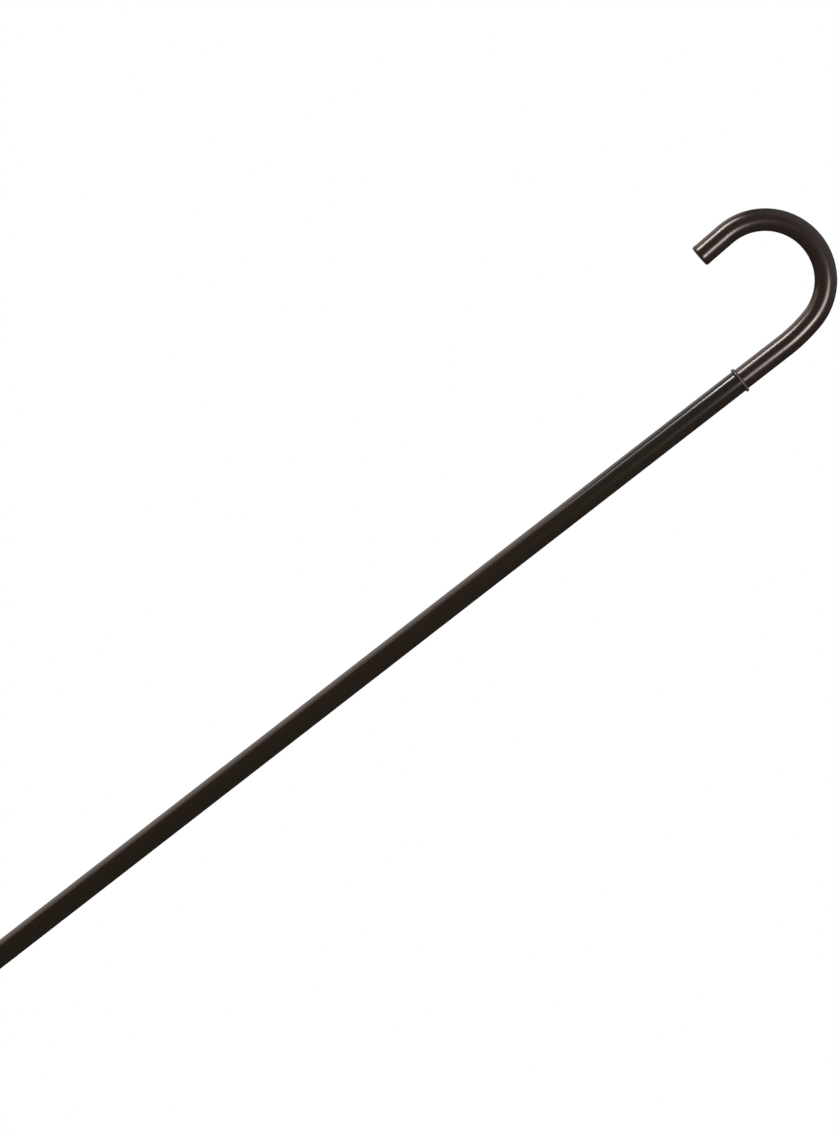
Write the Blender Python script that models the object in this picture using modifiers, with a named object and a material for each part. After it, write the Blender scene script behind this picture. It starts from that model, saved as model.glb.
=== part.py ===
"""Crook-handled single point cane, standing on its rubber tip.

Units are metres. The origin is the middle of the tip's ground face, +Z runs up the shaft's axis, and
the crook bends over towards -X, so the whole cane is symmetric about the XZ plane.
"""

from math import cos, pi, radians, sin

import bmesh
import bpy
from mathutils import Matrix, Vector

# ---- driving dimensions ----
OVERALL_HEIGHT = 0.940
GAP = 0.0003  # left between pieces that rest on each other
MERGE = 0.00001

SHAFT_RADIUS = 0.019050 / 2  # 3/4 inch tube
SHAFT_WALL = 0.00147
SHAFT_FOOT = 0.0094  # height of the tube's lower end, inside the tip
SHAFT_EDGE = 0.0003  # chamfer round both ends

CORE_RADIUS = 0.015875 / 2  # 5/8 inch tube, which plugs into the shaft tube
CORE_WALL = 0.00125
CORE_INSERTION = 0.075  # how far the core reaches down inside the shaft

SLEEVE_RADIUS = 0.0093
SLEEVE_WALL = 0.0012

COLLAR_RADIUS = 0.0112
COLLAR_THICKNESS = 0.0030
COLLAR_BORE = 0.0081

# The crook's centreline: a straight leg, a slack bend, a tight bend and a straight free end.
LEG_LENGTH = 0.045  # from the collar's middle
SLACK_RADIUS = 0.140
SLACK_ANGLE = radians(13)
CROOK_RADIUS = 0.049
CROOK_ANGLE = radians(170)
FREE_LENGTH = 0.028  # to the cap's outer face

CAP_THICKNESS = 0.0022
CAP_EDGE = 0.0017  # radius of its rounded rim
CAP_STEM_LENGTH = 0.013
CAP_STEM_RADIUS = 0.0062
CAP_STEM_CHAMFER = 0.0008
CAP_RIBS = 3
CAP_RIB_HEIGHT = 0.0003

RIVET_DEPTHS = (0.020, 0.050)  # below the collar
RIVET_SEAT = 0.0001  # between the head and the shaft
RIVET_HEAD_RADIUS = 0.0026
RIVET_HEAD_HEIGHT = 0.0008
RIVET_DOME = ((0, 1), (0.55, 0.85), (0.90, 0.50), (1, 0.15), (1, 0))  # shares of the head's size
RIVET_SHANK_RADIUS = 0.00155
RIVET_HOLE_RADIUS = 0.0018
RIVET_HOLE_START = 0.002  # how far from the shaft's axis the hole begins
RIVET_TAIL_RADIUS = 0.0022
RIVET_TAIL_LENGTH = 0.0020
RIVET_TAIL_GAP = 0.0006

TIP_HEIGHT = 0.048
TIP_BASE_RADIUS = 0.0170
TIP_NECK_RADIUS = 0.0120
TIP_BORE_RADIUS = 0.00966
TIP_BORE_FLOOR = 0.0072
TIP_LIP = 0.0012  # radius of the bead round its mouth
TIP_LIP_INSET = 0.0004
TIP_NECK_TOP = 0.0440
TIP_NECK_FOOT = 0.0300
TIP_NECK_DRAFT = 0.0002
TIP_RING_Z = 0.0282
TIP_RING = 0.0014  # radius of the ring's section
TIP_HOLLOW_CENTRE = (0.0195, 0.0245)  # the curve between the ring and the base
TIP_HOLLOW_RADIUS = 0.0078
TIP_BASE_TOP = 0.0130
TIP_BASE_LOW = 0.0060
TIP_BASE_DRAFT = 0.0006
TIP_FOOT = 0.0016  # radius of its bottom edge
TREAD_DEPTH = 0.0015
TREAD_DRAFT = 0.0003
TREAD_GROOVES = ((0.0065, 0.0080), (0.0108, 0.0123))  # inner and outer radius of each

WASHER_RADIUS = 0.0092
WASHER_THICKNESS = 0.0015
WASHER_HOLE = 0.0025

# ---- worked out from them ----
SLACK_RISE = SLACK_RADIUS * sin(SLACK_ANGLE)
SLACK_SHIFT = SLACK_RADIUS * (1 - cos(SLACK_ANGLE))
CROOK_CENTRE_RISE = LEG_LENGTH + SLACK_RISE - CROOK_RADIUS * sin(SLACK_ANGLE)
CROOK_CENTRE_SHIFT = SLACK_SHIFT + CROOK_RADIUS * cos(SLACK_ANGLE)
FREE_ANGLE = SLACK_ANGLE + CROOK_ANGLE  # the free end's heading, turned from straight up
COLLAR_Z = OVERALL_HEIGHT - SLEEVE_RADIUS - CROOK_RADIUS - CROOK_CENTRE_RISE
COLLAR_TOP = COLLAR_Z + COLLAR_THICKNESS / 2
COLLAR_BOTTOM = COLLAR_Z - COLLAR_THICKNESS / 2
SHAFT_TOP = COLLAR_BOTTOM - GAP

# ---- how finely the round shapes are cut ----
TURN_STEPS = 48
CAP_STEPS = 40
WASHER_STEPS = 32
RIVET_STEPS = 20
HOLE_STEPS = 16
SLACK_SEGMENTS = 2
CROOK_SEGMENTS = 34
SLEEVE_BEVEL = 10  # 24 sides
CORE_BEVEL = 6  # 16 sides
SHARP_ANGLE = radians(35)


def clear_scene():
    for obj in list(bpy.data.objects):
        bpy.data.objects.remove(obj)


def make_collection(name):
    collection = bpy.data.collections.new(name)
    bpy.context.scene.collection.children.link(collection)
    return collection


def make_material(name, colour, roughness, metallic=0.0):
    material = bpy.data.materials.new(name)
    material.use_nodes = True
    shader = material.node_tree.nodes["Principled BSDF"]
    shader.inputs["Base Color"].default_value = (*colour, 1.0)
    shader.inputs["Roughness"].default_value = roughness
    shader.inputs["Metallic"].default_value = metallic
    return material


def add_object(name, data, collection, material=None):
    obj = bpy.data.objects.new(name, data)
    collection.objects.link(obj)
    if material:
        data.materials.append(material)
    return obj


def shade_round(mesh):
    mesh.shade_smooth()
    mesh.set_sharp_from_angle(angle=SHARP_ANGLE)


def turned(name, profile, collection, material, closed, steps=TURN_STEPS):
    """A solid of revolution about its own Z axis. profile lists (radius, height) down the outer side."""
    count = len(profile)
    edges = [(i, i + 1) for i in range(count - 1)]
    if closed:
        edges.append((count - 1, 0))
    mesh = bpy.data.meshes.new(name)
    mesh.from_pydata([(radius, 0, height) for radius, height in profile], edges, [])
    obj = add_object(name, mesh, collection, material)
    screw = obj.modifiers.new("Turn", "SCREW")
    screw.angle = 2 * pi
    screw.steps = steps
    screw.render_steps = steps
    screw.use_merge_vertices = True
    screw.merge_threshold = MERGE
    screw.use_smooth_shade = False
    return obj


def arc(centre, radius, start, end, segments):
    """Points (radius, height) round part of a circle in a profile. Angles are in degrees from +X."""
    points = []
    for i in range(segments + 1):
        angle = radians(start + (end - start) * i / segments)
        points.append((centre[0] + radius * cos(angle), centre[1] + radius * sin(angle)))
    return points


def centreline(start, free_length):
    """The crook's centreline as points in the XZ plane, from the height start to the free end."""
    points = [Vector((0, 0, start)), Vector((0, 0, COLLAR_Z + LEG_LENGTH))]
    for i in range(1, SLACK_SEGMENTS + 1):
        turn = SLACK_ANGLE * i / SLACK_SEGMENTS
        rise = LEG_LENGTH + SLACK_RADIUS * sin(turn)
        shift = SLACK_RADIUS * (1 - cos(turn))
        points.append(Vector((-shift, 0, COLLAR_Z + rise)))
    for i in range(1, CROOK_SEGMENTS + 1):
        turn = SLACK_ANGLE + CROOK_ANGLE * i / CROOK_SEGMENTS
        rise = CROOK_CENTRE_RISE + CROOK_RADIUS * sin(turn)
        shift = CROOK_CENTRE_SHIFT - CROOK_RADIUS * cos(turn)
        points.append(Vector((-shift, 0, COLLAR_Z + rise)))
    points.append(points[-1] + free_heading() * free_length)
    return points


def free_heading():
    """The direction in which the free end of the crook points."""
    return Vector((-sin(FREE_ANGLE), 0, cos(FREE_ANGLE)))


def bent_tube(name, points, radius, wall, bevel, collection, material):
    """An open-ended tube round a centreline, as a mesh."""
    curve = bpy.data.curves.new(name + "_path", "CURVE")
    curve.dimensions = "3D"
    curve.bevel_depth = radius
    curve.bevel_resolution = bevel
    spline = curve.splines.new("POLY")
    spline.points.add(len(points) - 1)
    for place, point in zip(spline.points, points):
        place.co = (*point, 1)
    skin = add_object(name + "_path", curve, collection)
    solidify = skin.modifiers.new("Wall", "SOLIDIFY")
    solidify.thickness = wall
    solidify.offset = -1
    solidify.use_even_offset = True
    bpy.context.view_layer.update()
    graph = bpy.context.evaluated_depsgraph_get()
    mesh = bpy.data.meshes.new_from_object(skin.evaluated_get(graph))
    mesh.name = name
    shape = bmesh.new()
    shape.from_mesh(mesh)
    bmesh.ops.remove_doubles(shape, verts=shape.verts, dist=MERGE)
    bmesh.ops.recalc_face_normals(shape, faces=shape.faces)
    shape.to_mesh(mesh)
    shape.free()
    shade_round(mesh)
    obj = add_object(name, mesh, collection, material)
    obj.matrix_world = skin.matrix_world
    bpy.data.objects.remove(skin)
    return obj


def cut(obj, cutter):
    modifier = obj.modifiers.new("Cut " + cutter.name, "BOOLEAN")
    modifier.operation = "DIFFERENCE"
    modifier.solver = "EXACT"
    modifier.object = cutter


def make_rivet_cutter(index, height, cutters):
    """A hole through the back walls of the shaft and the core, along +Y."""
    shape = bmesh.new()
    bmesh.ops.create_cone(
        shape,
        cap_ends=True,
        segments=HOLE_STEPS,
        radius1=RIVET_HOLE_RADIUS,
        radius2=RIVET_HOLE_RADIUS,
        depth=2 * SHAFT_RADIUS,
    )
    mesh = bpy.data.meshes.new(f"rivet_hole_{index}")
    shape.to_mesh(mesh)
    shape.free()
    cutter = add_object(f"rivet_hole_{index}", mesh, cutters)
    cutter.rotation_euler = (-pi / 2, 0, 0)
    cutter.location = (0, RIVET_HOLE_START + SHAFT_RADIUS, height)
    cutter.hide_render = True
    cutter.display_type = "WIRE"
    return cutter


def make_rivet(name, height, collection, material):
    """A blind rivet: a domed head outside, a shank through both walls and a flared tail inside."""
    seat = SHAFT_RADIUS + RIVET_SEAT
    tail_top = CORE_RADIUS - CORE_WALL - RIVET_TAIL_GAP
    dome = [(out * RIVET_HEAD_RADIUS, seat + up * RIVET_HEAD_HEIGHT) for out, up in RIVET_DOME]
    profile = [
        *dome,
        (RIVET_SHANK_RADIUS, seat),
        (RIVET_SHANK_RADIUS, tail_top),
        (RIVET_TAIL_RADIUS, tail_top),
        (RIVET_TAIL_RADIUS, tail_top - 0.6 * RIVET_TAIL_LENGTH),
        (0.7 * RIVET_TAIL_RADIUS, tail_top - RIVET_TAIL_LENGTH),
        (0, tail_top - RIVET_TAIL_LENGTH),
    ]
    rivet = turned(name, profile, collection, material, closed=False, steps=RIVET_STEPS)
    rivet.rotation_euler = (-pi / 2, 0, 0)
    rivet.location = (0, 0, height)
    return rivet


def make_shaft(collection, material):
    inner = SHAFT_RADIUS - SHAFT_WALL
    profile = [
        (SHAFT_RADIUS - SHAFT_EDGE, SHAFT_TOP),
        (SHAFT_RADIUS, SHAFT_TOP - SHAFT_EDGE),
        (SHAFT_RADIUS, SHAFT_FOOT + SHAFT_EDGE),
        (SHAFT_RADIUS - SHAFT_EDGE, SHAFT_FOOT),
        (inner, SHAFT_FOOT),
        (inner, SHAFT_TOP),
    ]
    return turned("shaft_tube", profile, collection, material, closed=True)


def make_collar(collection, material):
    """A flat ring with a half-round rim, which hides the joint between the handle and the shaft."""
    half = COLLAR_THICKNESS / 2
    rim = arc((COLLAR_RADIUS - half, COLLAR_Z), half, 90, -90, 6)
    profile = [*rim, (COLLAR_BORE, COLLAR_BOTTOM), (COLLAR_BORE, COLLAR_TOP)]
    return turned("collar_ring", profile, collection, material, closed=True)


def make_cap(collection, material):
    """A plug for the free end: its own Z axis points out of the tube, with zero at its outer face."""
    rim = arc((SLEEVE_RADIUS - CAP_EDGE, -CAP_EDGE), CAP_EDGE, 90, 0, 5)
    rib_pitch = CAP_STEM_LENGTH / (CAP_RIBS + 1)
    stem_end = -CAP_THICKNESS - CAP_STEM_LENGTH
    profile = [(0, 0), *rim, (SLEEVE_RADIUS, -CAP_THICKNESS), (CAP_STEM_RADIUS, -CAP_THICKNESS)]
    for i in range(CAP_RIBS):
        top = -CAP_THICKNESS - (i + 0.5) * rib_pitch
        profile.append((CAP_STEM_RADIUS, top))
        profile.append((CAP_STEM_RADIUS + CAP_RIB_HEIGHT, top - 0.25 * rib_pitch))
        profile.append((CAP_STEM_RADIUS, top - 0.5 * rib_pitch))
    profile.append((CAP_STEM_RADIUS, stem_end + CAP_STEM_CHAMFER))
    profile.append((CAP_STEM_RADIUS - CAP_STEM_CHAMFER, stem_end))
    profile.append((0, stem_end))
    cap = turned("handle_end_cap", profile, collection, material, closed=False, steps=CAP_STEPS)
    face = centreline(COLLAR_TOP, FREE_LENGTH)[-1]
    turn = Vector((0, 0, 1)).rotation_difference(free_heading())
    cap.matrix_world = Matrix.Translation(face) @ turn.to_matrix().to_4x4()
    return cap


def make_tip(collection, material):
    """A moulded rubber ferrule: a lipped neck, a ring, a flared foot and a grooved ground face."""
    lip_centre = (TIP_NECK_RADIUS - TIP_LIP_INSET, TIP_HEIGHT - TIP_LIP)
    ring_centre = (TIP_NECK_RADIUS - TIP_NECK_DRAFT, TIP_RING_Z)
    foot_centre = (TIP_BASE_RADIUS - TIP_FOOT, TIP_FOOT)
    profile = [(0, TIP_BORE_FLOOR), (TIP_BORE_RADIUS, TIP_BORE_FLOOR), (TIP_BORE_RADIUS, TIP_HEIGHT)]
    profile += arc(lip_centre, TIP_LIP, 90, -60, 5)
    profile += [(TIP_NECK_RADIUS - TIP_NECK_DRAFT, TIP_NECK_TOP), (TIP_NECK_RADIUS, TIP_NECK_FOOT)]
    profile += arc(ring_centre, TIP_RING, 75, -75, 5)
    profile += arc(TIP_HOLLOW_CENTRE, TIP_HOLLOW_RADIUS, 168, 232, 6)
    profile += [(TIP_BASE_RADIUS - TIP_BASE_DRAFT, TIP_BASE_TOP), (TIP_BASE_RADIUS, TIP_BASE_LOW)]
    profile += arc(foot_centre, TIP_FOOT, 0, -90, 4)
    for inner, outer in reversed(TREAD_GROOVES):
        profile += [(outer, 0), (outer - TREAD_DRAFT, TREAD_DEPTH)]
        profile += [(inner + TREAD_DRAFT, TREAD_DEPTH), (inner, 0)]
    profile.append((0, 0))
    return turned("rubber_tip", profile, collection, material, closed=False)


def make_washer(collection, material):
    top = TIP_BORE_FLOOR + GAP + WASHER_THICKNESS
    bottom = TIP_BORE_FLOOR + GAP
    profile = [(WASHER_RADIUS, top), (WASHER_RADIUS, bottom), (WASHER_HOLE, bottom), (WASHER_HOLE, top)]
    return turned("tip_washer", profile, collection, material, closed=True, steps=WASHER_STEPS)


def build():
    clear_scene()
    cane = make_collection("single_point_cane")
    cutters = make_collection("cutters")

    gloss_brown = make_material("gloss_brown_paint", (0.012, 0.008, 0.006), 0.18)
    satin_brown = make_material("satin_brown_plastic", (0.022, 0.015, 0.012), 0.32)
    bare_metal = make_material("bare_aluminium", (0.60, 0.60, 0.61), 0.35, 1.0)
    steel = make_material("plated_steel", (0.45, 0.45, 0.46), 0.30, 1.0)
    rubber = make_material("dark_rubber", (0.012, 0.011, 0.010), 0.75)

    cap_seat = FREE_LENGTH - CAP_THICKNESS - GAP
    shaft = make_shaft(cane, gloss_brown)
    core_path = centreline(COLLAR_BOTTOM - CORE_INSERTION, cap_seat)
    core = bent_tube(
        "handle_core_tube", core_path, CORE_RADIUS, CORE_WALL, CORE_BEVEL, cane, bare_metal
    )
    sleeve_path = centreline(COLLAR_TOP + GAP, cap_seat)
    bent_tube(
        "handle_sleeve", sleeve_path, SLEEVE_RADIUS, SLEEVE_WALL, SLEEVE_BEVEL, cane, satin_brown
    )
    make_collar(cane, satin_brown)
    make_cap(cane, satin_brown)
    for index, depth in enumerate(RIVET_DEPTHS, start=1):
        height = COLLAR_BOTTOM - depth
        cutter = make_rivet_cutter(index, height, cutters)
        cut(shaft, cutter)
        cut(core, cutter)
        make_rivet(f"handle_rivet_{index}", height, cane, gloss_brown)
    make_tip(cane, rubber)
    make_washer(cane, steel)


build()
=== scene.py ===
from math import atan2, cos, exp, hypot, pi, radians, sin

import bmesh
import bpy
from mathutils import Matrix, Vector


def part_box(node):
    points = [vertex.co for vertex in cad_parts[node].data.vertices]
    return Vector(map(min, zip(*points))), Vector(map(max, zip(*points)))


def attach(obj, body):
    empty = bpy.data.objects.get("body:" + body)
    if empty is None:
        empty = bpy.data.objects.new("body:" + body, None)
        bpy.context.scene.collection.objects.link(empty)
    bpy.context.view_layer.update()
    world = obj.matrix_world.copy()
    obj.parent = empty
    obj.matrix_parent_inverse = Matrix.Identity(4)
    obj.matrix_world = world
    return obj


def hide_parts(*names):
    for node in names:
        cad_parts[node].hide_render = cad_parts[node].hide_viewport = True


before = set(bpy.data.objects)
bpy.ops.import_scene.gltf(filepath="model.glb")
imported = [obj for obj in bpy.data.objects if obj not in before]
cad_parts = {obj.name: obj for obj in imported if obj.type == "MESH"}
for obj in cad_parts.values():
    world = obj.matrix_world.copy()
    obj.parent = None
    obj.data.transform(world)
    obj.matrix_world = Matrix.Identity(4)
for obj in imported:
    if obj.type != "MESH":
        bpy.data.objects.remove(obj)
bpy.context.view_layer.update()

# Everything is in metres, in the frame's own axes: +Z runs up the shaft, and the crook bends to -X.

# ---- read from the frame ----
SLEEVE_LOW, SLEEVE_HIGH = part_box("handle_sleeve")
SHAFT_LOW, SHAFT_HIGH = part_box("shaft_tube")
COLLAR_LOW, COLLAR_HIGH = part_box("collar_ring")
TIP_LOW, TIP_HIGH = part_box("rubber_tip")

SLEEVE_RADIUS = SLEEVE_HIGH[1]
SHAFT_RADIUS = SHAFT_HIGH[0]
SHAFT_FOOT = SHAFT_LOW[2]
COLLAR_RADIUS = COLLAR_HIGH[0]
COLLAR_BOTTOM = COLLAR_LOW[2]
COLLAR_TOP = COLLAR_HIGH[2]
COLLAR_MIDDLE = (COLLAR_BOTTOM + COLLAR_TOP) / 2
TIP_RADIUS = TIP_HIGH[0]
TIP_HEIGHT = TIP_HIGH[2]

# ---- the crook's centreline, as the CAD has it ----
LEG_LENGTH = 0.045
SLACK_RADIUS = 0.140
SLACK_ANGLE = radians(13)
CROOK_RADIUS = 0.049
CROOK_ANGLE = radians(170)
FREE_LENGTH = 0.028
SLACK_START = LEG_LENGTH
CROOK_START = SLACK_START + SLACK_RADIUS * SLACK_ANGLE
FREE_START = CROOK_START + CROOK_RADIUS * CROOK_ANGLE
FREE_END = FREE_START + FREE_LENGTH

# ---- walls and small parts ----
SEAM = 0.00003  # the fine line left between pieces that are pressed together
SLEEVE_WALL = 0.0012
SKIN_INSET = 0.00007  # keeps the flared skin inside the CAD's box
FLARE_HEIGHT = 0.00016  # how far the end cap's plug spreads the skin
FLARE_LENGTH = 0.0017
MOULD_SEAM_HEIGHT = 0.00002
MOULD_SEAM_WIDTH = 0.0006
SHAFT_WALL = 0.00147
CAP_THICKNESS = 0.0022
CAP_STEM_RADIUS = 0.0062
CAP_STEM_LENGTH = 0.013
COLLAR_BORE = 0.0081
TIP_BORE_RADIUS = 0.00966
TIP_BORE_FLOOR = 0.0072
TIP_NECK_RADIUS = 0.0120
RIVET_DEPTHS = (0.020, 0.050)
RIVET_HEAD_RADIUS = 0.0026
RIVET_HEAD_HEIGHT = 0.0008
RIVET_HEAD_LIFT = 0.0001  # the gap between the head and the shaft
RIVET_SHANK_RADIUS = 0.00155
RIVET_SHANK_LENGTH = 0.0028  # measured inwards from the shaft's surface
RIVET_HOLE_RADIUS = 0.0018
RIVET_HOLE_START = 0.002  # how far from the shaft's axis the drill begins
RIVET_HOLE_RINGS = (-1.03, -0.7, -0.35, 0, 0.35, 0.7, 1.03)  # in hole radii

# ---- how finely the shapes are cut ----
SIDES = 128
TUBE_SIDES = 144
TIP_STEP = 0.0010
SLEEVE_STEP = 0.0011
CAP_STEP = 0.0012
SLEEVE_BORE_STEP = 0.0022
SHAFT_STEP = 0.006
SHORT_STEP = 0.0004  # keeps the shading of a rounded edge from spreading along a tube
SHARP_ANGLE = radians(38)


# ---- shapes ----
def corner_arc(before, corner, after, fillet, segments):
    """Points that round one corner of a profile."""
    to_before = (before - corner).normalized()
    to_after = (after - corner).normalized()
    half = to_before.angle(to_after) / 2
    reach = fillet / max(1e-6, abs(sin(half) / cos(half)))
    start = corner + to_before * reach
    end = corner + to_after * reach
    centre = corner + (to_before + to_after).normalized() * (fillet / sin(half))
    points = []
    for i in range(segments + 1):
        share = i / segments
        swing = (start - centre).slerp(end - centre, share)
        points.append(centre + swing.normalized() * fillet)
    return points


def rounded(corners, segments=5):
    """A profile from corners (radius, height, fillet): each corner with a fillet becomes an arc."""
    plain = [Vector((radius, height, 0)) for radius, height, _ in corners]
    points = []
    for i, corner in enumerate(plain):
        fillet = corners[i][2]
        if fillet and 0 < i < len(plain) - 1:
            points += corner_arc(plain[i - 1], corner, plain[i + 1], fillet, segments)
        else:
            points.append(corner)
    return [(point.x, point.y) for point in points]


def filled_in(profile, longest):
    """The same profile with its long stretches cut into steps, the first and last of them short."""
    points = [profile[0]]
    for (r0, h0), (r1, h1) in zip(profile, profile[1:]):
        length = hypot(r1 - r0, h1 - h0)
        count = max(1, int(length / longest))
        shares = [i / count for i in range(1, count)]
        if length > 4 * SHORT_STEP:
            shares = [SHORT_STEP / length, *shares, 1 - SHORT_STEP / length]
        for share in (*shares, 1):
            points.append((r0 + (r1 - r0) * share, h0 + (h1 - h0) * share))
    return points


def on_shaft(height):
    """The shaft's axis at a height: the point and the two directions across it."""
    return Vector((0, 0, height)), Vector((1, 0, 0)), Vector((0, 1, 0))


def on_crook(distance):
    """The crook's centreline at a distance from the collar's middle."""
    rise = min(distance, SLACK_START)
    point = Vector((0, 0, COLLAR_MIDDLE + rise))
    turn = 0.0
    for start, end, radius, angle in (
        (SLACK_START, CROOK_START, SLACK_RADIUS, SLACK_ANGLE),
        (CROOK_START, FREE_START, CROOK_RADIUS, CROOK_ANGLE),
    ):
        part = angle * (min(max(distance, start), end) - start) / (end - start)
        point += radius * Vector((cos(turn + part) - cos(turn), 0, sin(turn + part) - sin(turn)))
        turn += part
    heading = Vector((-sin(turn), 0, cos(turn)))
    point += heading * max(0.0, distance - FREE_START)
    return point, Vector((cos(turn), 0, sin(turn))), Vector((0, 1, 0))


def across_shaft(height):
    """Places a rivet or its hole, whose distances run out along +Y from the shaft's axis."""
    def place(distance):
        return Vector((0, distance, height)), Vector((1, 0, 0)), Vector((0, 0, -1))
    return place


def round_solid(name, profile, place, sides=SIDES, closed=False, shape=None):
    """A solid of round sections: profile lists (radius, distance) and place() puts each section."""
    mesh = bmesh.new()
    rings = []
    for radius, distance in profile:
        if radius < 1e-7:
            rings.append([mesh.verts.new(place(distance)[0])])
            continue
        ring = []
        for side in range(sides):
            angle = 2 * pi * side / sides
            r, d = shape(radius, distance, angle) if shape else (radius, distance)
            point, right, up = place(d)
            ring.append(mesh.verts.new(point + r * (cos(angle) * right + sin(angle) * up)))
        rings.append(ring)
    pairs = list(zip(rings, rings[1:]))
    if closed:
        pairs.append((rings[-1], rings[0]))
    for near, far in pairs:
        for side in range(sides):
            following = (side + 1) % sides
            if len(near) == 1:
                corners = (near[0], far[following], far[side])
            elif len(far) == 1:
                corners = (near[side], near[following], far[0])
            else:
                corners = (near[side], near[following], far[following], far[side])
            mesh.faces.new(corners)
    bmesh.ops.recalc_face_normals(mesh, faces=mesh.faces)
    data = bpy.data.meshes.new(name)
    mesh.to_mesh(data)
    mesh.free()
    data.shade_smooth()
    data.set_sharp_from_angle(angle=SHARP_ANGLE)
    piece = bpy.data.objects.new(name, data)
    bpy.context.scene.collection.objects.link(piece)
    return piece


def bump_at(value, centre, width):
    """A smooth hump, 1 at the centre."""
    return exp(-(((value - centre) / width) ** 2))


def wrapped(angle):
    """An angle as a difference of at most half a turn."""
    return atan2(sin(angle), cos(angle))


def both_seams(angle, radius, width):
    """The humps of the two mould seams, on opposite sides of a round piece."""
    return sum(bump_at(wrapped(angle - side) * radius, 0, width) for side in (0, pi))


def make_sleeve():
    """The moulded skin of the crook: slightly flared where the end cap's plug spreads it."""
    start = COLLAR_TOP - COLLAR_MIDDLE + SEAM
    end = FREE_END - CAP_THICKNESS
    bore = SLEEVE_RADIUS - SLEEVE_WALL
    profile = rounded([
        (bore, start, 0),
        (SLEEVE_RADIUS, start, 0.00025),
        (SLEEVE_RADIUS, end, 0.00030),
        (bore, end, 0),
    ])
    profile = filled_in(profile, SLEEVE_STEP)
    back = filled_in([(bore, end), (bore, start)], SLEEVE_BORE_STEP)[1:-1]
    skin_from = bore + 0.0001

    def shape(radius, distance, angle):
        if radius <= skin_from:
            return radius, distance
        flare = FLARE_HEIGHT * bump_at(distance, end, FLARE_LENGTH)
        seam = MOULD_SEAM_HEIGHT * both_seams(angle, radius, MOULD_SEAM_WIDTH)
        return radius - SKIN_INSET + flare + seam, distance

    section = {"sides": TUBE_SIDES, "closed": True, "shape": shape}
    return round_solid("handle_skin", profile + back, on_crook, **section)


def make_cap():
    """The free end's plug: a rounded rim, a shallow dished face and a plain stem."""
    dish_edge = 0.0060
    dish_floor = FREE_END - 0.00035
    gate_radius = 0.0011  # the small raised mark where the plastic was fed in
    gate_top = dish_floor + 0.0001
    seat = FREE_END - CAP_THICKNESS + SEAM
    corners = [
        (0, gate_top, 0),
        (gate_radius * 0.6, gate_top, 0.0002),
        (gate_radius, dish_floor, 0.0002),
        (dish_edge - 0.0005, dish_floor, 0.0004),
        (dish_edge, FREE_END, 0.0003),
        (SLEEVE_RADIUS, FREE_END, 0.0017),
        (SLEEVE_RADIUS, seat, 0.00025),
        (CAP_STEM_RADIUS, seat, 0.0002),
        (CAP_STEM_RADIUS, seat - CAP_STEM_LENGTH, 0.0008),
        (0, seat - CAP_STEM_LENGTH, 0),
    ]
    profile = filled_in(rounded(corners, 7), CAP_STEP)
    return round_solid("end_cap", profile, on_crook, sides=112)


def make_collar():
    """The trim ring: a round bead that stands proud of both tubes."""
    fillet = 0.97 * (COLLAR_TOP - COLLAR_BOTTOM) / 2  # just short of a half circle
    corners = [
        (COLLAR_BORE, COLLAR_TOP, 0),
        (COLLAR_RADIUS, COLLAR_TOP, fillet),
        (COLLAR_RADIUS, COLLAR_BOTTOM, fillet),
        (COLLAR_BORE, COLLAR_BOTTOM, 0),
    ]
    return round_solid("collar_trim", rounded(corners, 8), on_shaft, closed=True)


def make_shaft():
    """The painted tube, with rounded edges and a hole under each rivet."""
    bore = SHAFT_RADIUS - SHAFT_WALL
    top = COLLAR_BOTTOM - SEAM
    # Rings close to each hole, so that the faces which the drill cuts stay under the rivet's head.
    hole_rings = [
        (SHAFT_RADIUS, COLLAR_BOTTOM - depth - step * RIVET_HOLE_RADIUS, 0)
        for depth in RIVET_DEPTHS
        for step in RIVET_HOLE_RINGS
    ]
    corners = [
        (bore, top, 0),
        (SHAFT_RADIUS, top, 0.00015),
        *hole_rings,
        (SHAFT_RADIUS, SHAFT_FOOT, 0.0004),
        (bore, SHAFT_FOOT, 0),
    ]
    profile = filled_in(rounded(corners), SHAFT_STEP)
    back = filled_in([(bore, SHAFT_FOOT), (bore, top)], SHAFT_STEP)[1:-1]
    shaft = round_solid("shaft_skin", profile + back, on_shaft, sides=TUBE_SIDES, closed=True)
    for depth in RIVET_DEPTHS:
        drill(shaft, RIVET_HOLE_RADIUS, COLLAR_BOTTOM - depth)
    return shaft


def drill(piece, radius, height):
    """Cuts a round hole through the +Y wall of a tube on the shaft's axis."""
    start, end = RIVET_HOLE_START, 2 * SHAFT_RADIUS
    corners = [(0, start), (radius, start), (radius, end), (0, end)]
    cutter = round_solid("drill", corners, across_shaft(height), sides=48)
    cut = piece.modifiers.new("Hole", "BOOLEAN")
    cut.operation = "DIFFERENCE"
    cut.solver = "EXACT"
    cut.object = cutter
    bpy.context.view_layer.update()
    graph = bpy.context.evaluated_depsgraph_get()
    whole = piece.data
    piece.data = bpy.data.meshes.new_from_object(piece.evaluated_get(graph))
    piece.data.name = whole.name
    piece.modifiers.clear()
    for used in (whole, cutter.data):
        bpy.data.meshes.remove(used)


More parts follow.
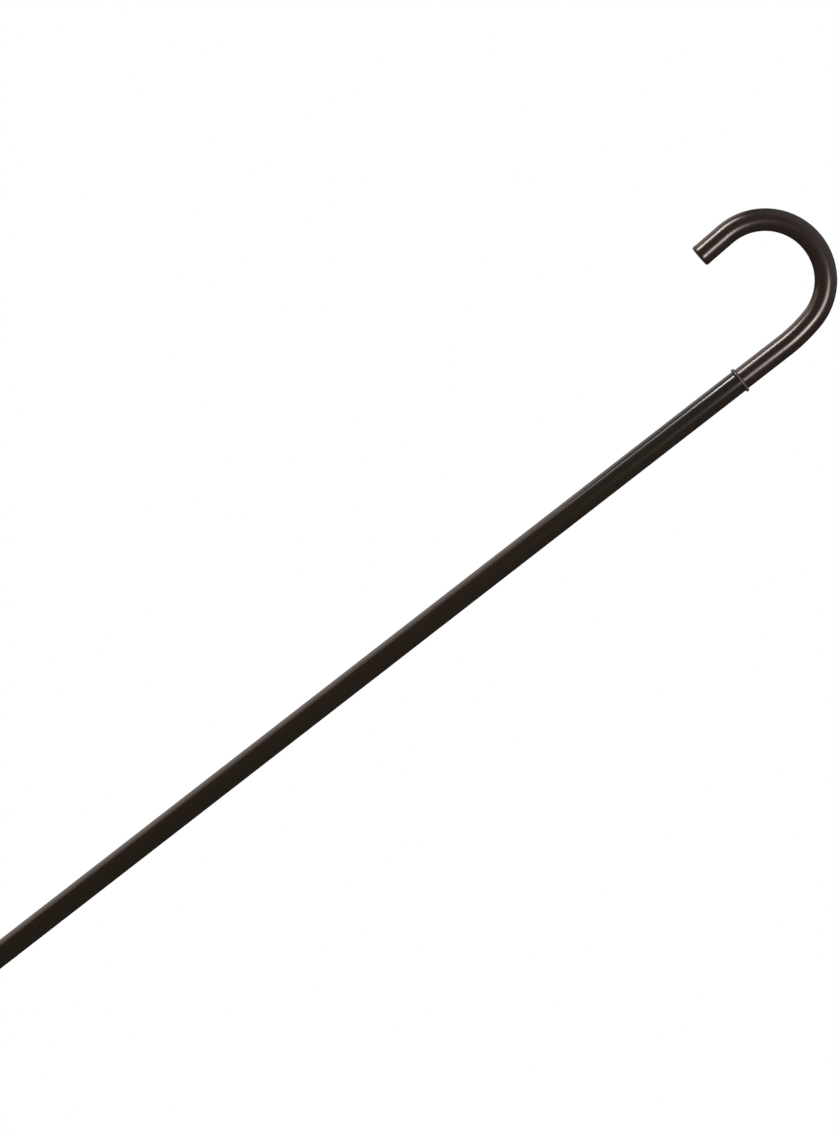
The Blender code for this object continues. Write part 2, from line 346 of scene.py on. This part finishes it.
def make_rivet(number, depth):
    """A blind rivet's domed head, with the pulled stem's dimple, and its shank."""
    seat = SHAFT_RADIUS + RIVET_HEAD_LIFT
    top = seat + RIVET_HEAD_HEIGHT
    shank_end = SHAFT_RADIUS - RIVET_SHANK_LENGTH
    corners = [
        (0, top - 0.00035, 0),
        (0.00055, top - 0.00030, 0.00008),
        (0.00075, top, 0.00012),
        (RIVET_HEAD_RADIUS * 0.72, top - 0.00018, 0.0010),
        (RIVET_HEAD_RADIUS, seat + 0.00020, 0.00012),
        (RIVET_HEAD_RADIUS, seat, 0),
        (RIVET_SHANK_RADIUS, seat, 0),
        (RIVET_SHANK_RADIUS, shank_end, 0),
        (0, shank_end, 0),
    ]
    place = across_shaft(COLLAR_BOTTOM - depth)
    return round_solid(f"rivet_{number}", rounded(corners, 4), place, sides=48)


def make_tip():
    """The rubber ferrule: a beaded mouth, a ribbed neck, a flared and fluted foot and a tread."""
    bead_radius = TIP_NECK_RADIUS + 0.0007
    band_radius = TIP_NECK_RADIUS + 0.0011
    groove_depth = 0.0015
    corners = [
        (0, TIP_BORE_FLOOR, 0),
        (TIP_BORE_RADIUS, TIP_BORE_FLOOR, 0.0006),
        (TIP_BORE_RADIUS, TIP_HEIGHT, 0.0005),
        (bead_radius, TIP_HEIGHT, 0.0011),
        (bead_radius, TIP_HEIGHT - 0.0028, 0.0009),
        (TIP_NECK_RADIUS - 0.0003, TIP_HEIGHT - 0.0038, 0.0007),
        (TIP_NECK_RADIUS, 0.0306, 0.0006),
        (band_radius, 0.0297, 0.0006),
        (band_radius, 0.0269, 0.0006),
        (TIP_NECK_RADIUS - 0.0001, 0.0258, 0.0012),
        (TIP_NECK_RADIUS + 0.0004, 0.0205, 0.0040),
        (TIP_RADIUS - 0.0009, 0.0150, 0.0028),
        (TIP_RADIUS, 0.0050, 0.0030),
        (TIP_RADIUS, 0, 0.0014),
        (0.0123, 0, 0.00025),
        (0.0120, groove_depth, 0.00025),
        (0.0111, groove_depth, 0.00025),
        (0.0108, 0, 0.00025),
        (0.0080, 0, 0.00025),
        (0.0077, groove_depth, 0.00025),
        (0.0068, groove_depth, 0.00025),
        (0.0065, 0, 0.00025),
        (0, 0, 0),
    ]
    profile = filled_in(rounded(corners, 6), TIP_STEP)
    outside_from = TIP_BORE_RADIUS + 0.0012
    flutes, flute_depth, flute_low, flute_high = 36, 0.00040, 0.0020, 0.0160
    rib_spacing, rib_depth, rib_low, rib_high = 0.0022, 0.00012, 0.0316, TIP_HEIGHT - 0.0042
    notches, notch_depth, notch_from = 12, 0.0010, 0.0123

    def shape(radius, distance, angle):
        if radius > TIP_NECK_RADIUS + 0.0008 and flute_low < distance < flute_high:
            fade = min(1.0, (distance - flute_low) / 0.0012, (flute_high - distance) / 0.0020)
            radius -= flute_depth * fade * (0.5 - 0.5 * cos(flutes * angle)) ** 3
        elif radius > outside_from and rib_low < distance < rib_high:
            radius -= rib_depth * (0.5 - 0.5 * cos(2 * pi * distance / rib_spacing))
        seam = both_seams(angle, radius, 0.00025)
        if radius > outside_from and distance > 0.0170:
            radius += 0.00010 * seam
        if radius > notch_from and distance < 0.0004:
            distance += notch_depth * (0.5 + 0.5 * cos(notches * angle)) ** 24
        return radius, distance

    return round_solid("tip_ferrule", profile, on_shaft, sides=432, shape=shape)


# ---- materials ----
class Surface:
    """A procedural material: a Principled shader whose inputs follow noise in object space."""

    def __init__(self, name, **constants):
        self.material = bpy.data.materials.new(name)
        self.material.use_nodes = True
        self.nodes = self.material.node_tree.nodes
        self.links = self.material.node_tree.links
        self.shader = self.nodes["Principled BSDF"]
        for socket, value in constants.items():
            self.shader.inputs[socket.replace("_", " ")].default_value = value
        self.place = self.nodes.new("ShaderNodeTexCoord").outputs["Object"]
        self.normal = None

    def connect(self, value, socket):
        """Sets a socket to a number, a colour or another node's output."""
        if isinstance(value, bpy.types.NodeSocket):
            self.links.new(value, socket)
        else:
            socket.default_value = value

    def noise(self, scale, detail=3.0, roughness=0.55, stretch=None):
        """Noise at so many features a metre; a stretch below 1 draws it out along that axis."""
        node = self.nodes.new("ShaderNodeTexNoise")
        node.inputs["Scale"].default_value = scale
        node.inputs["Detail"].default_value = detail
        node.inputs["Roughness"].default_value = roughness
        source = self.place
        if stretch:
            mapping = self.nodes.new("ShaderNodeMapping")
            mapping.inputs["Scale"].default_value = stretch
            self.links.new(self.place, mapping.inputs["Vector"])
            source = mapping.outputs["Vector"]
        self.links.new(source, node.inputs["Vector"])
        return node.outputs["Fac"]

    def cells(self, scale):
        """The distance to the nearest of many scattered points."""
        node = self.nodes.new("ShaderNodeTexVoronoi")
        node.inputs["Scale"].default_value = scale
        self.links.new(self.place, node.inputs["Vector"])
        return node.outputs["Distance"]

    def ranged(self, value, low, high, to_low, to_high):
        """A value remapped smoothly from one range to another."""
        node = self.nodes.new("ShaderNodeMapRange")
        node.interpolation_type = "SMOOTHSTEP"
        limits = {"From Min": low, "From Max": high, "To Min": to_low, "To Max": to_high}
        for socket, amount in limits.items():
            node.inputs[socket].default_value = amount
        self.links.new(value, node.inputs["Value"])
        return node.outputs["Result"]

    def math(self, operation, first, second):
        """Two values combined by one of the Math node's operations."""
        node = self.nodes.new("ShaderNodeMath")
        node.operation = operation
        self.connect(first, node.inputs[0])
        self.connect(second, node.inputs[1])
        return node.outputs["Value"]

    def mixed(self, share, first, second):
        """A colour between two."""
        node = self.nodes.new("ShaderNodeMix")
        node.data_type = "RGBA"
        self.connect(share, node.inputs["Factor"])
        for name, colour in (("A", first), ("B", second)):
            if not isinstance(colour, bpy.types.NodeSocket):
                colour = (*colour, 1.0)
            socket = next(s for s in node.inputs if s.name == name and s.type == "RGBA")
            self.connect(colour, socket)
        return next(s for s in node.outputs if s.type == "RGBA")

    def height(self):
        """How high a point is above the ground."""
        node = self.nodes.new("ShaderNodeSeparateXYZ")
        self.links.new(self.place, node.inputs["Vector"])
        return node.outputs["Z"]

    def bump(self, value, depth):
        """Adds relief of a depth in metres on top of any already there."""
        node = self.nodes.new("ShaderNodeBump")
        node.inputs["Distance"].default_value = depth
        self.links.new(value, node.inputs["Height"])
        if self.normal:
            self.links.new(self.normal, node.inputs["Normal"])
        self.normal = node.outputs["Normal"]
        self.links.new(self.normal, self.shader.inputs["Normal"])

    def set(self, socket, value):
        """Gives one of the shader's inputs a value."""
        self.connect(value, self.shader.inputs[socket])


def satin_plastic(name, highlight_above=None):
    """Moulded brown plastic: a fine spark-eroded grain, faint flow waves and a few dull rub marks.

    highlight_above is the height above which a painted highlight makes it paler, standing in for
    the light that its top shoulder catches.
    """
    surface = Surface(name, IOR=1.50, Specular_IOR_Level=1.0, Specular_Tint=(1.0, 0.85, 0.80, 1.0))
    flow = surface.noise(38, detail=2.0)
    rubs = surface.ranged(surface.noise(130, detail=6.0, roughness=0.7), 0.56, 0.72, 0.0, 1.0)
    grain = surface.noise(3800, detail=2.0)
    body = surface.mixed(flow, (0.0150, 0.0092, 0.0064), (0.0178, 0.0112, 0.0080))
    if highlight_above is not None:
        # Painted highlight: above this height the base colour turns paler in patches, as if the top
        # shoulder caught light from above.
        top_highlight = surface.ranged(surface.height(), highlight_above, highlight_above + 0.0008, 0.0, 0.85)
        patchy = surface.ranged(surface.noise(260, detail=3.0), 0.3, 0.6, 0.7, 1.0)
        body = surface.mixed(surface.math("MULTIPLY", top_highlight, patchy), body, (0.070, 0.055, 0.047))
    rubbed = surface.math("MULTIPLY", rubs, 0.18)
    surface.set("Base Color", surface.mixed(rubbed, body, (0.032, 0.024, 0.019)))
    sheen = surface.ranged(flow, 0.3, 0.7, 0.225, 0.255)
    dull = surface.math("ADD", sheen, surface.math("MULTIPLY", rubs, 0.08))
    surface.set("Roughness", surface.math("ADD", dull, surface.math("MULTIPLY", grain, 0.03)))
    surface.bump(surface.noise(85, detail=1.0), 0.000018)
    surface.bump(grain, 0.0000010)
    return surface.material


def gloss_paint():
    """Gloss brown paint on a drawn tube: slight orange peel, dust nibs and scuffs near the foot."""
    surface = Surface("gloss_brown_paint", IOR=1.46, Coat_Weight=0.2, Coat_Roughness=0.30)
    low = surface.ranged(surface.height(), 0.05, 0.30, 1.0, 0.0)
    flecks = surface.noise(220, detail=8.0, roughness=0.75, stretch=(1.0, 1.0, 0.25))
    marks = surface.ranged(flecks, 0.60, 0.70, 0.0, 1.0)
    share = surface.math("ADD", surface.math("MULTIPLY", low, 0.6), 0.06)
    scuffs = surface.math("MULTIPLY", marks, share)
    drift = surface.noise(12, detail=2.0)
    body = surface.mixed(drift, (0.0145, 0.0094, 0.0061), (0.0172, 0.0114, 0.0077))
    surface.set("Base Color", surface.mixed(scuffs, body, (0.055, 0.045, 0.038)))
    gloss = surface.ranged(drift, 0.3, 0.7, 0.12, 0.15)
    surface.set("Roughness", surface.math("ADD", gloss, scuffs))
    surface.bump(surface.noise(520, detail=1.0), 0.0000004)
    surface.bump(surface.noise(160, detail=1.0, stretch=(1.0, 1.0, 0.12)), 0.0000008)
    nibs = surface.ranged(surface.cells(140), 0.0, 0.04, 1.0, 0.0)
    surface.bump(nibs, 0.000006)
    return surface.material


def moulded_rubber():
    """Matt dark rubber: mould grain, a cloudy bloom and grey dust on the foot."""
    surface = Surface("moulded_rubber", IOR=1.52)
    cloud = surface.noise(60, detail=5.0, roughness=0.65)
    dust = surface.ranged(surface.height(), 0.0, 0.016, 0.9, 0.06)
    dusty = surface.math("MULTIPLY", dust, surface.ranged(cloud, 0.35, 0.7, 0.05, 0.75))
    body = surface.mixed(cloud, (0.0120, 0.0105, 0.0095), (0.0190, 0.0165, 0.0150))
    surface.set("Base Color", surface.mixed(dusty, body, (0.085, 0.075, 0.064)))
    surface.set("Roughness", surface.ranged(cloud, 0.3, 0.7, 0.56, 0.74))
    surface.bump(surface.noise(1500, detail=4.0), 0.00005)
    return surface.material


def anodised_metal():
    """Brown anodised aluminium with a slightly patchy tone."""
    surface = Surface("brown_anodised_aluminium", Metallic=1.0)
    patina = surface.noise(900, detail=4.0)
    surface.set("Base Color", surface.mixed(patina, (0.085, 0.060, 0.048), (0.13, 0.098, 0.080)))
    surface.set("Roughness", surface.ranged(patina, 0.3, 0.7, 0.26, 0.40))
    surface.bump(surface.noise(4200, detail=2.0), 0.000010)
    return surface.material


def drawn_metal(name, colour, low, high):
    """Bare metal with fine lines along Z and darker blotches."""
    surface = Surface(name, Metallic=1.0)
    lines = surface.noise(2200, detail=3.0, stretch=(1.0, 1.0, 0.03))
    blotch = surface.noise(90, detail=4.0)
    dark = tuple(0.78 * channel for channel in colour)
    surface.set("Base Color", surface.mixed(blotch, dark, colour))
    surface.set("Roughness", surface.ranged(lines, 0.3, 0.7, low, high))
    surface.bump(lines, 0.000010)
    return surface.material


def studio_floor():
    """Nearly white and matt, with a faint glow that lifts it to the white behind it."""
    surface = Surface("studio_floor", IOR=1.45, Emission_Strength=0.15)
    grain = surface.noise(35, detail=4.0)
    surface.set("Base Color", surface.mixed(grain, (0.89, 0.89, 0.885), (0.93, 0.93, 0.925)))
    surface.set("Roughness", surface.ranged(grain, 0.3, 0.7, 0.75, 0.85))
    return surface.material


# ---- the studio ----
VIEW_TILT = radians(52.2)  # how far the camera rolls, so that the shaft climbs to the right
VIEW_CENTRE = Vector((-0.0392, 0, 0.5197))
VIEW_LONG_SIDE = 0.9154  # what the long side of the image spans at the cane
CAMERA_DISTANCE = 9.0
CAMERA_REACH = 50.0

FLOOR_RADIUS = 0.30
FLOOR_UNDERSIDE_RADIUS = 0.24  # smaller, so that a level view doesn't show the rim
FLOOR_THICKNESS = 0.002

WHITE = (1.0, 1.0, 1.0)
WARM = (1.0, 0.74, 0.64)

# The lights: name, place, what it points at, size, watts and colour. The strip on the left is in
# three parts, so that the shaft mirrors it brightest just under the collar, and fading downwards.
LIGHTS = (
    ("strip_high", (-0.99, -0.325, 0.995), (-0.045, 0, 0.88), (0.26, 0.27), 2.3, WHITE),
    ("strip_bright", (-0.99, -0.325, 0.85), (-0.045, 0, 0.85), (0.26, 0.05), 1.17, WHITE),
    ("strip_low", (-0.99, -0.325, 0.74), (-0.045, 0, 0.74), (0.26, 0.16), 0.34, WHITE),
    ("softbox_low", (0.385, -0.84, 0.96), (-0.045, 0, 0.88), (0.30, 0.14), 1.75, WHITE),
    ("softbox_high", (0.385, -0.84, 1.19), (-0.045, 0, 0.88), (0.30, 0.40), 2.5, WHITE),
    ("side_wall", (-1.2, 0.04, 0.28), (0, 0, 0.28), (0.95, 0.80), 3.0, WARM),
)


def make_camera():
    """Looks along +Y, square to the crook's plane, through a long lens."""
    data = bpy.data.cameras.new("camera")
    data.lens = data.sensor_width * CAMERA_DISTANCE / VIEW_LONG_SIDE
    data.clip_end = CAMERA_REACH
    camera = bpy.data.objects.new("camera", data)
    bpy.context.scene.collection.objects.link(camera)
    right = Vector((cos(VIEW_TILT), 0, sin(VIEW_TILT)))
    up = Vector((-sin(VIEW_TILT), 0, cos(VIEW_TILT)))
    back = right.cross(up)
    turn = Matrix((right, up, back)).transposed()
    place = Matrix.Translation(VIEW_CENTRE + back * CAMERA_DISTANCE)
    camera.matrix_world = place @ turn.to_4x4()
    bpy.context.scene.camera = camera


def make_light(name, place, target, size, power, colour):
    """A rectangular soft light that the camera doesn't see."""
    data = bpy.data.lights.new(name, "AREA")
    data.shape = "RECTANGLE"
    data.size, data.size_y = size
    data.energy = power
    data.color = colour
    light = bpy.data.objects.new(name, data)
    bpy.context.scene.collection.objects.link(light)
    light.location = place
    aim = (Vector(target) - Vector(place)).normalized()
    light.rotation_euler = aim.to_track_quat("-Z", "Y").to_euler()
    light.visible_camera = False


AMBIENT = 0.85  # the even light that matt surfaces get from all round
DARK_SIDE = 0.02  # what the gloss sees where there is no panel

# What the gloss reflects, two panels behind and a dim ceiling: each has a direction, the cosines at
# which its glow starts and is full, and a brightness.
PANELS = (
    ((-0.26, 0.966, 0.0), 0.88, 0.99, 1.0),
    ((-0.857, 0.515, 0.0), 0.91, 0.99, 1.0),
    ((0.0, 0.0, 1.0), 0.25, 0.95, 0.28),
)


def make_world():
    """White to the camera and even to matt surfaces; gloss reflects the panels."""
    world = bpy.data.worlds.new("studio")
    world.use_nodes = True
    world.cycles.sampling_method = "NONE"
    nodes = world.node_tree.nodes
    links = world.node_tree.links
    place = nodes.new("ShaderNodeTexCoord").outputs["Generated"]
    path = nodes.new("ShaderNodeLightPath")

    def towards(direction, low, high, brightness):
        """A smooth glow that grows as a ray points more nearly in a direction."""
        dot = nodes.new("ShaderNodeVectorMath")
        dot.operation = "DOT_PRODUCT"
        dot.inputs[1].default_value = direction
        links.new(place, dot.inputs[0])
        glow = nodes.new("ShaderNodeMapRange")
        glow.interpolation_type = "SMOOTHSTEP"
        limits = {"From Min": low, "From Max": high, "To Min": DARK_SIDE, "To Max": brightness}
        for socket, amount in limits.items():
            glow.inputs[socket].default_value = amount
        links.new(dot.outputs["Value"], glow.inputs["Value"])
        return glow.outputs["Result"]

    def mixed(ray, otherwise, value):
        """One brightness for one kind of ray, another for the rest."""
        mix = nodes.new("ShaderNodeMix")
        links.new(path.outputs[ray], mix.inputs["Factor"])
        for socket, source in (("A", otherwise), ("B", value)):
            if isinstance(source, float):
                mix.inputs[socket].default_value = source
            else:
                links.new(source, mix.inputs[socket])
        return mix.outputs["Result"]

    gloss = towards(*PANELS[0])
    for panel in PANELS[1:]:
        brighter = nodes.new("ShaderNodeMath")
        brighter.operation = "MAXIMUM"
        links.new(gloss, brighter.inputs[0])
        links.new(towards(*panel), brighter.inputs[1])
        gloss = brighter.outputs["Value"]
    seen = mixed("Is Camera Ray", mixed("Is Glossy Ray", AMBIENT, gloss), 1.0)
    links.new(seen, nodes["Background"].inputs["Strength"])
    nodes["Background"].inputs["Color"].default_value = (*WHITE, 1.0)
    bpy.context.scene.world = world


def make_floor():
    """A plain round floor, which gloss doesn't reflect."""
    profile = [
        (0, 0),
        (FLOOR_RADIUS, 0),
        (FLOOR_UNDERSIDE_RADIUS, -FLOOR_THICKNESS),
        (0, -FLOOR_THICKNESS),
    ]
    floor = round_solid("studio_floor", profile, on_shaft)
    floor.data.materials.append(studio_floor())
    floor.visible_glossy = False


# ---- put together ----
def finish_piece(piece, material, slot, *nodes):
    """Gives a piece its material, and hands it over in place of the CAD's nodes."""
    piece.data.materials.append(material)
    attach(piece, "root")
    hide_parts(*nodes)


def main():
    bpy.context.scene.view_settings.view_transform = "Standard"
    make_camera()
    make_world()
    for light in LIGHTS:
        make_light(*light)
    make_floor()

    plastic = satin_plastic("satin_brown_plastic")
    # The collar's upper shoulder gets a painted highlight in its base colour.
    highlight_from = COLLAR_MIDDLE - 0.0008
    highlit_plastic = satin_plastic("brown_plastic_painted_highlight", highlight_above=highlight_from)
    finish_piece(make_sleeve(), plastic, "handle_plastic", "handle_sleeve")
    finish_piece(make_cap(), plastic, "handle_plastic", "handle_end_cap")
    finish_piece(make_collar(), highlit_plastic, "handle_plastic", "collar_ring")
    finish_piece(make_shaft(), gloss_paint(), "shaft_paint", "shaft_tube")
    rivet_finish = anodised_metal()
    for number, depth in enumerate(RIVET_DEPTHS, start=1):
        rivet = make_rivet(number, depth)
        finish_piece(rivet, rivet_finish, "rivet_metal", f"handle_rivet_{number}")
    finish_piece(make_tip(), moulded_rubber(), "tip_rubber", "rubber_tip")

    for node, material in (
        ("handle_core_tube", drawn_metal("bare_aluminium", (0.78, 0.78, 0.79), 0.22, 0.38)),
        ("tip_washer", drawn_metal("plated_steel", (0.60, 0.60, 0.61), 0.20, 0.34)),
    ):
        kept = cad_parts[node].data.materials
        kept.clear()
        kept.append(material)


main()
